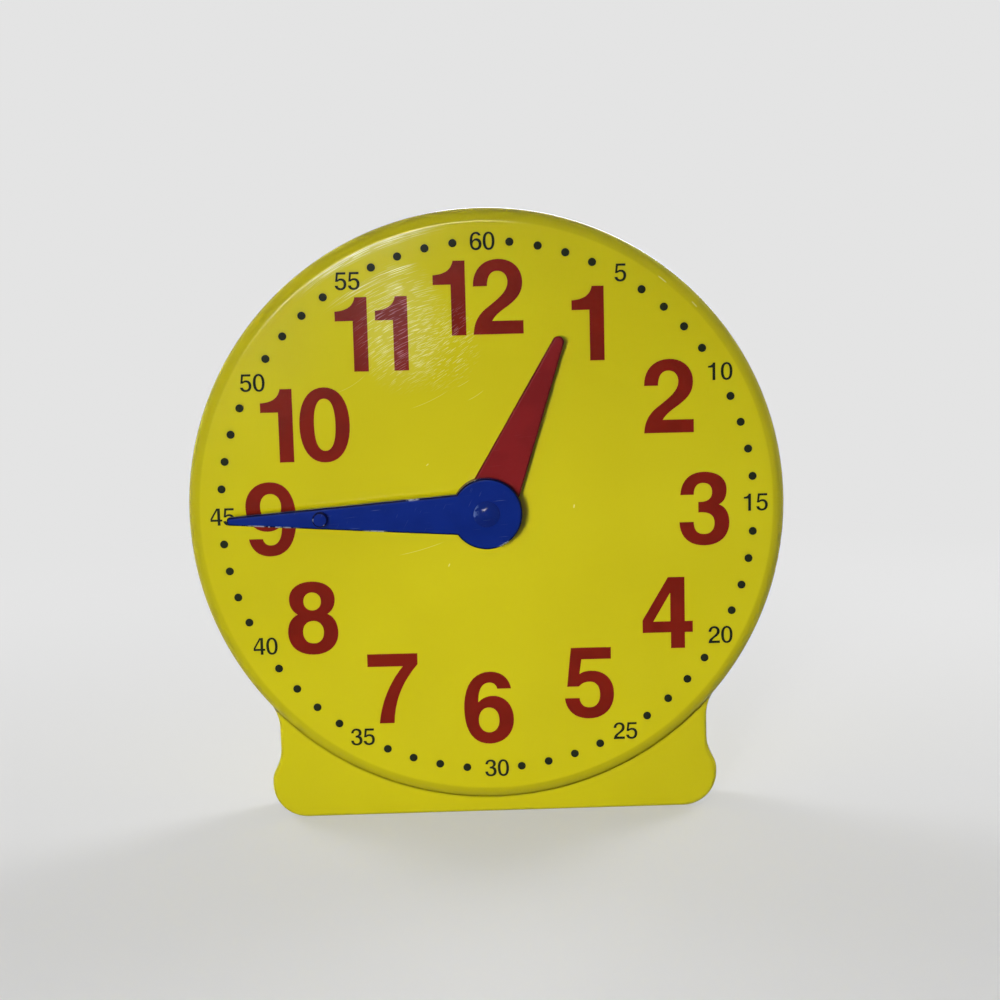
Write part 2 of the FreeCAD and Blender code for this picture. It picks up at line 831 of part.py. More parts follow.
def minute_key(across):
    block = flats(across, minute_hand_back - overrun, minute_hand_front + overrun)
    block.rotate(HUB, OUT, -minute_hand_angle)
    return block


def friction_washer():
    """Dished spring washer that drags on the arbor, so the hands stay where they are put."""
    inner = arbor_radius + through_hole_clearance
    outer = inner + friction_washer_wall
    return turned([(inner, bridge_boss_end - friction_washer_dish),
                   (outer, bridge_boss_end),
                   (outer, bridge_boss_end - friction_washer_thickness),
                   (inner, friction_washer_back)])


def arbor_clip():
    """Open clip in the arbor's groove, behind the friction washer."""
    inner = arbor_radius - clip_groove_depth + fit_clearance
    clip = ring(arbor_radius + clip_wall, inner, clip_back, clip_front)
    mouth = Part.makeBox(clip_mouth, arbor_radius + clip_wall + overrun,
                         clip_thickness + 2 * overrun, at(-clip_mouth / 2, 0, clip_back - overrun))
    return clip.cut(mouth)


def dial_washer():
    """Thin washer between the bush's flange and the hour hand."""
    return ring(dial_flange_radius - washer_step, dial_bush_bore, flange_front,
                dial_washer_front)


def hand_washer():
    """Thin washer between the two hands."""
    inner = arbor_radius + through_hole_clearance
    return ring(inner + hand_washer_wall, inner, hand_washer_back, hand_washer_front)


# ---------------------------------------------------------------- hands


def arm_outline(root_half, tip_half, tip_reach, tip_radius):
    """Tapered arm pointing up, with its tip rounded at both corners."""
    side_slope = (root_half - tip_half) / (tip_reach - hand_root_reach)
    root = root_half + side_slope * hand_root_reach
    lean = math.atan(side_slope)
    setback = tip_radius * math.tan((math.pi / 2 - lean) / 2)
    corner = at(tip_half, tip_reach, 0)
    on_side = corner + at(math.sin(lean), -math.cos(lean), 0) * setback
    on_tip = corner - at(setback, 0, 0)
    centre = on_tip - at(0, tip_radius, 0)
    right = [line(at(root, 0, 0), on_side), arc_about(centre, on_side, on_tip)]
    left = [line(at(-root, 0, 0), mirrored(on_side)),
            arc_about(mirrored(centre), mirrored(on_side), mirrored(on_tip))]
    edges = right + left + [line(at(root, 0, 0), at(-root, 0, 0))]
    if on_tip.x > 1e-6:
        edges.append(line(on_tip, mirrored(on_tip)))
    return Part.Wire(Part.__sortEdges__(edges))


def softened(hand, front):
    """Round off the front edge of a hand."""
    return hand.makeFillet(hand_edge_radius, edges_at_depth(hand, front))


def hour_hand():
    """Red hand pressed on the flats of the hour pipe."""
    tip_half = hour_tip_radius * rounded_tip_share(hour_root_half_width, hour_tip_reach,
                                                   hour_tip_radius)
    arm = prism(arm_outline(hour_root_half_width, tip_half, hour_tip_reach, hour_tip_radius),
                hour_hand_front - hour_arm_thickness, hour_hand_front)
    hub = rod(hour_hub_radius, hour_hand_back, hour_hand_front)
    hand = softened(fused([arm, hub]), hour_hand_front)
    hand.rotate(HUB, OUT, -hour_hand_angle)
    bore = hole(hour_pipe_radius + fit_clearance, hour_hand_back, hour_hand_front)
    return hand.cut(bore.common(hour_key(hour_pipe_flats + 2 * fit_clearance)))


def rounded_tip_share(root_half, reach, radius):
    """Half width of a fully round tip at its very end, as a share of the tip radius."""
    lean = math.atan((root_half - radius) / (reach - hand_root_reach))
    return math.tan((math.pi / 2 - lean) / 2) + 0.002


def minute_hand():
    """Blue hand on the flats of the arbor, with a finger peg moulded on its arm."""
    arm = prism(arm_outline(minute_root_half_width, minute_tip_half_width, minute_tip_reach,
                            minute_tip_radius),
                minute_hand_front - minute_arm_thickness, minute_hand_front)
    hub = rod(minute_hub_radius, minute_hand_back, minute_hand_front)
    hand = softened(fused([arm, hub]), minute_hand_front)
    peg = rod(peg_radius, minute_hand_front - overrun, peg_front, at(0, peg_reach, 0))
    peg = peg.makeFillet(peg_edge_radius, circle_edges(peg, peg_radius, peg_front))
    hand = fused([hand, peg])
    hand.rotate(HUB, OUT, -minute_hand_angle)
    bore = hole(arbor_radius + fit_clearance, minute_hand_back, minute_hand_front)
    return hand.cut(bore.common(minute_key(arbor_flats + 2 * fit_clearance)))


def minute_hand_cap():
    """Low domed button that holds the minute hand on its arbor."""
    ball_radius = (cap_radius ** 2 + cap_crown ** 2) / (2 * cap_crown)
    ball = Part.makeSphere(ball_radius, at(0, 0, cap_front - ball_radius), OUT)
    button = ball.common(rod(cap_radius, minute_hand_front, cap_front + overrun))
    button = button.makeFillet(cap_edge_radius,
                               circle_edges(button, cap_radius, minute_hand_front + cap_edge_height))
    shank = rod(cap_shank_radius, minute_hand_front - cap_shank_length, minute_hand_front)
    return fused([button, shank])


# ---------------------------------------------------------------- build

os.makedirs("parts", exist_ok=True)
PIECES = {
    "front_shell": front_shell,
    "rear_cover": rear_cover,
    "rear_cover_screws": rear_cover_screws,
    "dial_bush": dial_bush,
    "bush_lock_ring": bush_lock_ring,
    "gear_bridge": gear_bridge,
    "bridge_bush": bridge_bush,
    "bridge_screws": bridge_screws,
    "compound_stud": compound_stud,
    "compound_washer": compound_washer,
    "compound_gear": compound_gear,
    "minute_pinion": minute_pinion,
    "pinion_pin": pinion_pin,
    "minute_arbor": minute_arbor,
    "friction_washer": friction_washer,
    "arbor_clip": arbor_clip,
    "hour_wheel": hour_wheel,
    "hour_hand": hour_hand,
    "dial_washer": dial_washer,
    "hand_washer": hand_washer,
    "minute_hand": minute_hand,
    "minute_hand_cap": minute_hand_cap,
}
for node, make in PIECES.items():
    solid = make()
    print(node, "valid" if solid.isValid() else "INVALID", len(solid.Solids), "solids",
          round(solid.Volume / 1000, 2), "cm3")
    save(node, solid)
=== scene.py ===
# %% [markdown]
# # A geared teaching clock
#
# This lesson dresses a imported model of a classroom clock. The frame holds every hard piece in its
# real place: the yellow shell with its plinth, the back cover, the gears and the two hands. What is
# missing is everything that printing, moulding and years of handling leave on such a clock. Each
# step below first says what the real thing is, and then makes it.

# %% Load the frame and measure it
import json
import math

import bpy
from mathutils import Matrix, Vector


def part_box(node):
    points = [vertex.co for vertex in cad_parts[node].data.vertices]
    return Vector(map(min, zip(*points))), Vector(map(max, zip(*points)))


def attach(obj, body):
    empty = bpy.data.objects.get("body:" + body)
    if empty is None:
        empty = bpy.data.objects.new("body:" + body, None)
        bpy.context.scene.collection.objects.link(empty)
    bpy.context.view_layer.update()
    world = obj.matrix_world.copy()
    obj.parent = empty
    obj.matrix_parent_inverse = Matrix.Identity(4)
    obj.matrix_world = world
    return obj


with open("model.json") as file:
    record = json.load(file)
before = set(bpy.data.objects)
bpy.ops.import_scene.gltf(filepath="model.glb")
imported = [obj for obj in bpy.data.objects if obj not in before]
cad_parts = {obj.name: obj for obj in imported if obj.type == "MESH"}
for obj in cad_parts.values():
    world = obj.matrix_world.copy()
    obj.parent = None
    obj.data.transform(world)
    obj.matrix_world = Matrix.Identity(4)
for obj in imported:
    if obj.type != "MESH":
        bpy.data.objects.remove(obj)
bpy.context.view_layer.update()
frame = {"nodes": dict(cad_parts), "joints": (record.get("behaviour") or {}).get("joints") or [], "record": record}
nodes = frame["nodes"]
MM = 0.001

turn = next(j for j in frame["joints"] if j["name"] == "minute_hand_turn")
HUB = Vector(turn["pos_m"])
shell_low, shell_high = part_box("front_shell")
DIAL_Y = shell_low.y
DRUM_RADIUS = shell_high.x
print("hub height", round(HUB.z, 4), "m, dial face at y", round(DIAL_Y, 4), "m")
print("drum radius", round(DRUM_RADIUS, 4), "m")


# %% [markdown]
# ## The camera
#
# The clock is seen from a little above its hub and almost square on, through a normal lens. The
# camera stands about a metre away, looks slightly down and is rolled by a degree or two. Its
# three directions are written out as vectors, because a rotation worked out from them is exact.

# %% Place the camera
FRAME_PIXELS = 1000
FOCAL_PIXELS = 1736.0
SENSOR_WIDTH = 36.0
FROM_HUB = Vector((0.00562, 0.0, 0.14936))
FROM_DIAL = 0.98297
CAMERA_PLACE = Vector((HUB.x + FROM_HUB.x, DIAL_Y - FROM_DIAL, HUB.z + FROM_HUB.z))
LOOK = Vector((0.0022, 0.98952, -0.14437)).normalized()
UP_HINT = Vector((0.03003, 0.14427, 0.98921))


def camera_turn(look, up_hint):
    """The rotation of a camera that looks along one vector with another one upwards."""
    right = look.cross(up_hint).normalized()
    up = right.cross(look)
    return Matrix((right, up, -look)).transposed()


lens = bpy.data.cameras.new("camera")
lens.sensor_width = SENSOR_WIDTH
lens.lens = SENSOR_WIDTH * FOCAL_PIXELS / FRAME_PIXELS
camera = bpy.data.objects.new("camera", lens)
bpy.context.scene.collection.objects.link(camera)
camera.matrix_world = Matrix.Translation(CAMERA_PLACE) @ camera_turn(LOOK, UP_HINT).to_4x4()
bpy.context.scene.camera = camera
bpy.context.scene.view_settings.view_transform = "Standard"
print("camera", round(lens.lens, 1), "mm, at", [round(c, 3) for c in CAMERA_PLACE])


# %% [markdown]
# ## Shader sums
#
# A worn surface is described with numbers that change from place to place: how far from the hub,
# how deep in a scratch. In Blender such a number comes out of a node's socket. Wiring a Math node
# for every plus sign soon hides the idea, so a small class wraps a socket and lets Python's own
# signs add the Math nodes. One more method adds any other kind of node.

# %% A socket that can be used in sums
class Field:
    """A number or colour that changes over a surface."""

    def __init__(self, finish, socket):
        self.finish = finish
        self.socket = socket

    def sum(self, operation, first, second):
        return self.finish.node("ShaderNodeMath", {"operation": operation}, {0: first, 1: second})

    def __add__(self, other):
        return self.sum("ADD", self, other)

    def __radd__(self, other):
        return self.sum("ADD", other, self)

    def __sub__(self, other):
        return self.sum("SUBTRACT", self, other)

    def __rsub__(self, other):
        return self.sum("SUBTRACT", other, self)

    def __mul__(self, other):
        return self.sum("MULTIPLY", self, other)

    def __rmul__(self, other):
        return self.sum("MULTIPLY", other, self)

    def __truediv__(self, other):
        return self.sum("DIVIDE", self, other)

    def __pow__(self, other):
        return self.sum("POWER", self, other)

    def __gt__(self, other):
        return self.sum("GREATER_THAN", self, other)

    def __lt__(self, other):
        return self.sum("LESS_THAN", self, other)

    def at_least(self, other):
        return self.sum("MAXIMUM", self, other)

    def at_most(self, other):
        return self.sum("MINIMUM", self, other)

    def size(self):
        return self.finish.node("ShaderNodeMath", {"operation": "ABSOLUTE"}, {0: self})

    def between(self, low, high):
        """0 below low, 1 above high and a smooth change between them; low may be the larger."""
        return self.finish.node(
            "ShaderNodeMapRange",
            {"interpolation_type": "SMOOTHSTEP"},
            {"Value": self, "From Min": low, "From Max": high},
        )


print("sockets can be used with + - * / ** < and >")


# %% [markdown]
# ## Wiring a material
#
# Each finish is one material. A first class keeps its Principled shader and its place on the object,
# and adds the nodes: any kind of node by one method, and the few kinds that most finishes use by a
# method each, such as noise for blotches and grain, and a bump.

# %% A material that can be wired
class Wiring:
    """One material with its shader, and the place on the object that its patterns are read from."""

    def __init__(self, name, colour, roughness, **constants):
        self.material = bpy.data.materials.new(name)
        self.material.use_nodes = True
        self.tree = self.material.node_tree
        self.shader = self.tree.nodes["Principled BSDF"]
        self.set("Base Color", (*colour, 1.0))
        self.set("Roughness", roughness)
        for socket, value in constants.items():
            self.set(socket.replace("_", " "), value)
        self.place = self.node("ShaderNodeTexCoord", {}, {}, "Object")
        self.material.diffuse_color = (*colour, 1.0)

    def node(self, kind, settings, inputs, output=0):
        """Adds a node, sets it and joins its inputs; gives back one of its outputs."""
        new = self.tree.nodes.new(kind)
        for setting, value in settings.items():
            setattr(new, setting, value)
        for socket, value in inputs.items():
            self.join(value, new.inputs[socket])
        return Field(self, new.outputs[output])

    def join(self, value, socket):
        if isinstance(value, Field):
            self.tree.links.new(value.socket, socket)
        else:
            socket.default_value = value

    def set(self, socket, value):
        self.join(value, self.shader.inputs[socket])

    def mix(self, first, second, share):
        """The first colour where the share is 0 and the second where it is 1."""
        colours = [(*c, 1.0) if isinstance(c, tuple) and len(c) == 3 else c for c in (first, second)]
        return self.node(
            "ShaderNodeMix",
            {"data_type": "RGBA"},
            {"Factor": share, 6: colours[0], 7: colours[1]},
            2,
        )

    def choose(self, first, second, share):
        """The first vector where the share is 0 and the second where it is 1."""
        return self.node(
            "ShaderNodeMix",
            {"data_type": "VECTOR"},
            {"Factor": share, 4: first, 5: second},
            1,
        )

    def moved(self, shift=(0, 0, 0), turn=(0, 0, 0), scale=(1, 1, 1)):
        """The place on the object, shifted, then turned and stretched."""
        shifted = self.node(
            "ShaderNodeVectorMath", {"operation": "SUBTRACT"}, {0: self.place, 1: shift}
        )
        turned = self.node(
            "ShaderNodeMapping", {"vector_type": "POINT"}, {"Vector": shifted, "Rotation": turn}
        )
        return self.node("ShaderNodeVectorMath", {"operation": "MULTIPLY"}, {0: turned, 1: scale})

    def split(self, vector):
        parts = self.tree.nodes.new("ShaderNodeSeparateXYZ")
        self.tree.links.new(vector.socket, parts.inputs[0])
        return [Field(self, out) for out in parts.outputs]

    def noise(self, vector, scale, detail, rough=0.5):
        return self.node(
            "ShaderNodeTexNoise",
            {},
            {"Vector": vector, "Scale": scale, "Detail": detail, "Roughness": rough},
        )

    def bump(self, height, distance, strength, under=None):
        """Small hills, on the surface as it is or as it faces under them."""
        inputs = {"Height": height, "Distance": distance, "Strength": strength}
        if under is not None:
            inputs["Normal"] = under
        return self.node("ShaderNodeBump", {}, inputs)


print("a material can be wired")


# %% [markdown]
# ## A finish
#
# A finish adds what wear is made of: scratches, and where on the dial they are. A scratch is noise
# that is stretched a great deal along one direction, so that its peaks become long thin strokes. A
# density of 0 leaves hardly any of them, and a density of 1 lets them cover nearly half.

# %% A material with strokes
MIDDLE_OF_NOISE = 0.5
SPARSEST = 0.30
STROKE_EDGE = 0.10
UNROLLED_AT = 145.0


class Finish(Wiring):
    """A material with the fields that its wear is made of."""

    def stretched(self, vector, density):
        """Strokes out of a place that is measured in strokes' lengths and widths: 1 in a stroke."""
        threshold = MIDDLE_OF_NOISE + SPARSEST * (1 - density)
        return self.noise(vector, 1.0, 0.0).between(threshold, threshold + STROKE_EDGE)

    def strokes(self, degrees, length, width, density, shift=(0, 0, 0)):
        """Straight strokes, sized in metres; degrees are above the horizontal of the dial's plane."""
        turn = (0, math.radians(degrees), 0)
        return self.stretched(self.moved(shift, turn, (1 / length, 1 / width, 1 / width)), density)

    def round_strokes(self, radius, angle, length, width, density):
        """Strokes that run round the hub, as a cloth leaves them, sized in mm at UNROLLED_AT."""
        along = angle * (UNROLLED_AT / length)
        unrolled = self.node("ShaderNodeCombineXYZ", {}, {"X": along, "Y": radius / width})
        return self.stretched(unrolled, density)

    def from_hub(self):
        """The place in mm from the hub: to the right, behind the dial's face, and up."""
        return self.split(self.moved((HUB.x, DIAL_Y, HUB.z), scale=(1 / MM, 1 / MM, 1 / MM)))

    def around_hub(self, right, up):
        """The distance from the hub in mm, and the angle in radians, clockwise from the twelve."""
        radius = (right * right + up * up) ** 0.5
        return radius, self.node("ShaderNodeMath", {"operation": "ARCTAN2"}, {0: right, 1: up})


print("strokes are cut from noise above", MIDDLE_OF_NOISE)


# %% [markdown]
# ## Wear on the dial
#
# Clocks of this kind are handled and wiped for years. A cloth leaves fine scratches that run round
# the hub, and a slight haze, in a patch at the eleven. Fingers that take hold of the clock there
# have rubbed a scuff just inside the minutes. A band where the flat of the dial ends is hazier and
# painted pale as a painted highlight. A few single scratches lie elsewhere. Each mark is described
# in mm from the hub, so that the ink and the plastic share it. Where a mark fades in or out, two
# values say where it begins and where it is full.

# %% Where the wear is
# Each patch is an oval: right, up, half its width and half its height.
WIPED = (-45.0, 106.0, 30.0, 40.0)
SWIRLED = (-24.0, 96.0, 26.0, 30.0)
BURNISHED = (-48.0, 127.0, 7.0, 6.0)
RUBBED_WHITE = (-46.0, 138.0, 15.0, 8.0)
# The scuff and the band run round the hub, between two distances and two angles.
SCUFF_RADIUS = 145.0
SCUFF_HALF_WIDTH = 3.2
SCUFF_CORE = 0.6
SCUFF_FROM = (math.radians(-38), math.radians(-38) + 0.22)
SCUFF_TO = (math.radians(-13), math.radians(-13) - 0.12)
BAND_FROM = (math.radians(-42), math.radians(-25))
BAND_TO = (math.radians(-5), math.radians(-20))
BAND_INSIDE = (158.5, 162.8)
BAND_OUTSIDE = (164.0, 163.2)
# Round strokes, in mm: length, width and density. The swirls are in metres: degrees, length, width,
# density, and a shift to another place in the noise.
FINE_STROKES = (9.0, 0.42, 0.66)
DENSE_STROKES = (16.0, 0.50, 0.86)
BAND_STROKES = (12.0, 0.45, 0.9)
SWIRLS = (34, 0.0048, 0.00040, 0.58, (0.3, 0, 0.1))
# Single scratches: right, up, degrees, length, width, sag and depth.
LONE_SCRATCHES = (
    (-38.0, -21.5, 15.0, 30.0, 0.26, 0.8, 0.35),
    (50.1, 1.1, 80.0, 2.4, 0.5, 0.0, 0.9),
    (-33.0, 27.5, 40.0, 2.0, 0.4, 0.0, 0.7),
    (-22.5, -31.0, 65.0, 2.2, 0.4, 0.0, 0.8),
    (102.7, 128.6, -40.0, 7.0, 0.5, 0.0, 0.5),
    (120.6, 114.1, -48.0, 5.0, 0.6, 0.0, 0.4),
    (-74.0, 74.0, 30.0, 22.0, 0.24, 1.5, 0.22),
    (-30.0, 64.0, 24.0, 26.0, 0.22, 1.0, 0.30),
    (-4.0, 66.0, 31.0, 12.0, 0.24, 0.5, 0.35),
    (-11.0, 73.0, 28.0, 9.0, 0.22, 0.3, 0.35),
)
print(len(LONE_SCRATCHES), "single scratches, and a wiped patch at the eleven")


# %% Draw the marks
WIPED_DEPTH = 0.8
SWIRLED_DEPTH = 0.55
SCUFF_DEPTH = 0.7
BURNISHED_SKIN = 0.2
BURNISHED_DEPTH = 0.9


def near(right, up, place_right, place_up, half_width, half_height):
    """1 at a place on the dial, falling smoothly to 0 at the edge of an oval round it."""
    across = (right - place_right) / half_width
    along = (up - place_up) / half_height
    return (across * across + along * along).between(1.0, 0.0)


def lone_scratch(right, up, place_right, place_up, degrees, length, width, sag, depth):
    """One scratch, as long and wide as given in mm, that sags in its middle; a deep one is paler."""
    turn = math.radians(degrees)
    along = (right - place_right) * math.cos(turn) + (up - place_up) * math.sin(turn)
    across = (up - place_up) * math.cos(turn) - (right - place_right) * math.sin(turn)
    if sag:
        across = across - along * along * (4 * sag / length**2)
    return across.size().between(width, 0.0) * along.size().between(length / 2, length / 4) * depth


def wiping_marks(finish, right, up):
    """Scratches (1 in a scratch) and haze, from the wiped patch, the scuff and single marks."""
    radius, angle = finish.around_hub(right, up)
    wiped = near(right, up, *WIPED)
    fine = finish.round_strokes(radius, angle, *FINE_STROKES)
    dense = finish.round_strokes(radius, angle, *DENSE_STROKES)
    swirl = finish.strokes(*SWIRLS)
    swept = angle.between(*SCUFF_FROM) * angle.between(*SCUFF_TO)
    scuff = (radius - SCUFF_RADIUS).size().between(SCUFF_HALF_WIDTH, SCUFF_CORE) * swept
    marks = (fine * wiped * WIPED_DEPTH).at_least(swirl * near(right, up, *SWIRLED) * SWIRLED_DEPTH)
    marks = marks.at_least(dense * scuff * (SCUFF_DEPTH + near(right, up, *RUBBED_WHITE)))
    marks = marks.at_least(near(right, up, *BURNISHED) * (BURNISHED_SKIN + fine * BURNISHED_DEPTH))
    for scratch in LONE_SCRATCHES:
        marks = marks.at_least(lone_scratch(right, up, *scratch))
    return marks, wiped.at_least(scuff)


def rim_band(radius, angle):
    """The band that ends where the rim begins to round, hazier and painted pale as a highlight."""
    reach = angle.between(*BAND_FROM) * angle.between(*BAND_TO)
    return radius.between(*BAND_INSIDE) * radius.between(*BAND_OUTSIDE) * reach


print("the scuff runs round the hub at", SCUFF_RADIUS, "mm")


# %% [markdown]
# ## The yellow shell
#
# The shell is injection moulded in a bright, slightly green yellow, with a glossy front and a
# colour that is a little uneven. The round of the rim is painted a shade darker, as painted shade.
# A painted highlight runs along the start of the round at the upper left, and a pale sheen is
# painted over the wiped haze.
# The bright line that a lamp draws along a round is broken by every facet of a mesh, so the way
# that the dial and its round face is worked out from their shape and given to the shader.

# %% Yellow plastic, glossy and finely scratched
YELLOW = (0.545, 0.482, 0.004)
YELLOW_DEEP = (0.515, 0.450, 0.003)
YELLOW_RIM_SHADE = (0.430, 0.378, 0.002)
PALE_WEAR = (0.86, 0.84, 0.42)
RIM_ROUND = 8.2
RIM_SKIN = 0.4
# The strip of painted shade lies between two distances from the hub, and ends at a depth behind the dial.
RIM_SHADE_INSIDE = (163.4, 165.0)
RIM_SHADE_OUTSIDE = (173.0, 172.0)
RIM_SHADE_BACK = (9.5, 6.5)
# Painted highlight: a pale line where the flat of the dial meets the round, and a pale haze over the band.
HIGHLIGHT_CREST = (162.3, 163.2)
BAND_HIGHLIGHT = 0.2
CREST_HIGHLIGHT = 0.45
MARKS_PALE = 0.72
# Painted sheen: the wiped haze is painted a little pale.
SHEEN_PALE = 0.04


def rim_facing(finish, right, depth, up, radius):
    """The way the dial and its rim face, worked out from the round itself and not from its facets."""
    flat_radius = DRUM_RADIUS / MM - RIM_ROUND
    over_edge = (radius - flat_radius).at_least(0.0)
    tilt = (over_edge / RIM_ROUND).at_most(1.0)
    outward = tilt / radius.at_least(1.0)
    forward = (1.0 - tilt * tilt) ** 0.5
    facing = finish.node(
        "ShaderNodeCombineXYZ", {}, {"X": right * outward, "Y": 0.0 - forward, "Z": up * outward}
    )
    below_skin = ((over_edge ** 2.0 + (RIM_ROUND - depth) ** 2.0) ** 0.5 - RIM_ROUND).size()
    on_round = (below_skin < RIM_SKIN) * (radius > flat_radius - RIM_ROUND)
    return finish.choose(finish.node("ShaderNodeNewGeometry", {}, {}, "Normal"), facing, on_round)


def yellow_shell():
    finish = Finish("yellow_shell_plastic", YELLOW, 0.16, Specular_IOR_Level=0.16)
    right, depth, up = finish.from_hub()
    radius, angle = finish.around_hub(right, up)
    marks, haze = wiping_marks(finish, right, up)
    band = rim_band(radius, angle)
    band_strokes = finish.round_strokes(radius, angle, *BAND_STROKES)
    # Painted highlight: the band and its crest line are painted pale, over the band's scratches.
    marks = marks.at_least((band_strokes + BAND_HIGHLIGHT + radius.between(*HIGHLIGHT_CREST) * CREST_HIGHLIGHT) * band)
    blotches = finish.noise(finish.place, 9.0, 2.0)
    colour = finish.mix(YELLOW, YELLOW_DEEP, blotches.between(0.35, 0.65))
    # Painted shade: the round of the rim is darkened.
    rim = radius.between(*RIM_SHADE_INSIDE) * radius.between(*RIM_SHADE_OUTSIDE) * depth.between(*RIM_SHADE_BACK)
    rim_shaded = finish.mix(colour, YELLOW_RIM_SHADE, rim * 0.8)
    # Painted sheen: the haze is painted slightly pale, over the pale scratches.
    paleness = (marks * MARKS_PALE).at_least(haze * SHEEN_PALE)
    finish.set("Base Color", finish.mix(rim_shaded, PALE_WEAR, paleness))
    gloss = 0.09 + blotches.between(0.35, 0.75) * 0.03
    finish.set("Roughness", gloss + haze * 0.09 + band * 0.09 + marks * 0.10)
    peel = finish.noise(finish.place, 260.0, 1.0)
    facing = rim_facing(finish, right, depth, up, radius)
    finish.set("Normal", finish.bump(peel, 0.00003, 0.15, facing))
    return finish.material


shell_finish = yellow_shell()
print("made", shell_finish.name)


# %% [markdown]
# ## The printing inks
#
# The dial is printed in two passes, red for the hours and a near-black green for the minutes. The
# ink is a thin film that takes the shine of the dial only in part, and the same wiping that
# scratched the dial has gone through it near the eleven.

# %% Two inks
def printing_ink(name, colour, worn_colour, wear, shine):
    finish = Finish(name, colour, 0.20, Specular_IOR_Level=shine)
    right, _, up = finish.from_hub()
    marks, haze = wiping_marks(finish, right, up)
    patches = finish.noise(finish.place, 60.0, 2.0)
    uneven = finish.mix(colour, tuple(c * 0.86 for c in colour), patches.between(0.4, 0.65))
    # Painted sheen: the haze is painted a little pale, over the worn scratches.
    paleness = (marks * wear).at_least(haze * 0.03)
    finish.set("Base Color", finish.mix(uneven, worn_colour, paleness))
    finish.set("Roughness", 0.13 + patches * 0.05 + haze * 0.05 + marks * 0.12)
    grain = finish.noise(finish.place, 900.0, 1.0)
    finish.set("Normal", finish.bump(grain, 0.00002, 0.4))
    return finish.material


red_ink = printing_ink("hour_numeral_ink", (0.180, 0.010, 0.004), (0.62, 0.28, 0.34), 0.60, 0.075)
dark_ink = printing_ink("minute_numeral_ink", (0.016, 0.020, 0.010), (0.30, 0.30, 0.12), 0.30, 0.035)
print("made", red_ink.name, "and", dark_ink.name)


# %% [markdown]
# ## The hands
#
# Both hands are moulded plastic with a satin skin. Their rounded front edges are painted dark, as
# painted shade: a thin dark outline round the blue hand and a fainter one round the red hand. The
# edges are painted pale in flecks and in a few listed places; the pale arc on the peg is a painted
# highlight, and a few fine scratches cross the arms. The cap is glossier, and the pale arc on its
# left edge is a painted highlight.

# %% Red and blue hand plastic
# Each pale place is an oval: right, up, half its width, half its height, and how pale it is.
PALE_EDGE_PLACES = (
    (-128.0, -4.5, 24.0, 3.0, 0.8),
    (-64.5, -9.5, 13.0, 3.0, 0.9),
    (-42.0, 10.0, 5.0, 1.6, 0.9),
    # Painted highlight: the pale arc on the upper left of the peg.
    (-96.0, 1.2, 4.0, 2.8, 0.4),
    (10.0, -17.7, 6.0, 3.0, 0.8),
)
# Painted highlight: the pale arc on the left edge of the cap.
CAP_HIGHLIGHT_ARC = ((-6.5, 2.0, 3.0, 6.0, 1.0),)
EDGE_BEGINS = (-0.995, -0.90)
EDGE_ENDS = (-0.05, -0.35)


def hand_plastic(name, colour, dark, pale, roughness, shine, edge_shade, edge_paleness, pale_places=()):
    finish = Finish(name, colour, roughness, Specular_IOR_Level=shine)
    right, _, up = finish.from_hub()
    clouds = finish.noise(finish.place, 45.0, 2.0)
    scuffs = finish.strokes(4, 0.014, 0.0004, 0.10)
    rubbed = finish.strokes(62, 0.008, 0.0004, 0.02, (0.4, 0, 0.2))
    _, towards_back, _ = finish.split(finish.node("ShaderNodeNewGeometry", {}, {}, "Normal"))
    edge = towards_back.between(*EDGE_BEGINS) * towards_back.between(*EDGE_ENDS)
    flakes = finish.noise(finish.place, 300.0, 2.0, 0.6).between(0.42, 0.56)
    pale_edge = finish.noise(finish.place, 200.0, 2.0, 0.6).between(0.68, 0.78)
    for *place, paleness in pale_places:
        pale_edge = pale_edge.at_least(near(right, up, *place) * flakes * paleness)
    uneven = finish.mix(colour, dark, clouds.between(0.38, 0.66))
    # Painted shade: the rounded edges are darkened towards black.
    edge_shaded = finish.mix(uneven, tuple(c * 0.12 for c in colour), edge * edge_shade)
    # Pale flecks on the edges and pale places; on the peg and the cap these are painted highlights.
    worn_and_highlit = (scuffs.at_least(rubbed) * 0.06).at_least(pale_edge * edge * edge_paleness)
    finish.set("Base Color", finish.mix(edge_shaded, pale, worn_and_highlit))
    finish.set("Roughness", roughness + clouds * 0.05 + scuffs * 0.10)
    finish.set("Normal", finish.bump(finish.noise(finish.place, 420.0, 1.0), 0.00003, 0.35))
    return finish.material


red_plastic = hand_plastic(
    "red_hand_plastic",
    (0.188, 0.011, 0.012),
    (0.160, 0.009, 0.010),
    (0.45, 0.14, 0.15),
    roughness=0.19,
    shine=0.05,
    edge_shade=0.35,
    edge_paleness=0.2,
)
blue_plastic = hand_plastic(
    "blue_hand_plastic",
    (0.003, 0.017, 0.167),
    (0.002, 0.014, 0.144),
    (0.62, 0.66, 0.74),
    roughness=0.18,
    shine=0.05,
    edge_shade=0.95,
    edge_paleness=0.8,
    pale_places=PALE_EDGE_PLACES,
)
blue_cap = hand_plastic(
    "blue_cap_plastic",
    (0.001, 0.014, 0.140),
    (0.001, 0.011, 0.118),
    (0.20, 0.30, 0.60),
    roughness=0.05,
    shine=0.10,
    edge_shade=0.0,
    edge_paleness=0.4,
    pale_places=CAP_HIGHLIGHT_ARC,
)
print("made", red_plastic.name, blue_plastic.name, blue_cap.name)


# %% [markdown]
# ## The back cover and the works
#
# The cover is the same yellow, but its mould was left satin. Inside, the gears are acetal, which
# is slightly waxy, the bushes and washers are natural nylon, the bridge is grey, and the shafts,
# screws and clips are steel.

